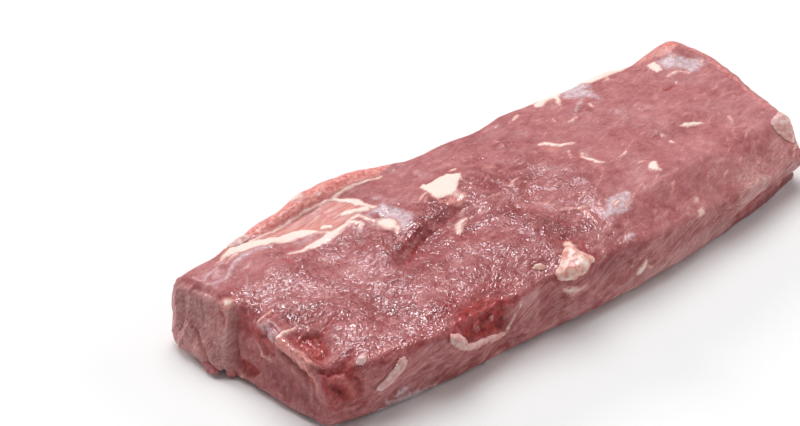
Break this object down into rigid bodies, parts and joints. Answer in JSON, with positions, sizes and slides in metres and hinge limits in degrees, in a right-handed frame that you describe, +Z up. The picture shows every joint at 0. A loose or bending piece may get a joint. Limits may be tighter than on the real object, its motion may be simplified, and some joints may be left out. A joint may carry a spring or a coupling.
{
  "type": "lamb loin fillet",
  "caption": "Long flat slab of trimmed raw lamb loin with square-cut ends, lying bone side up, with scraps of fat, a side strip of muscle and a curled flap of skin.",
  "frame": {"origin": "middle of the underside that it rests on, at the centre of its outline", "axes": "+X along the fillet from the near cut end to the far one, +Y across it to the side with the strip muscle, +Z up"},
  "size_m": [0.2264, 0.0888, 0.0268],
  "materials": {
    "raw_lamb": "wet, translucent, fibrous",
    "lamb_fat": "waxy, slightly translucent",
    "silverskin": "thin pearly membrane"
  },
  "bodies": {
    "root": {"fillet": "raw_lamb"}
  },
  "joints": []
}
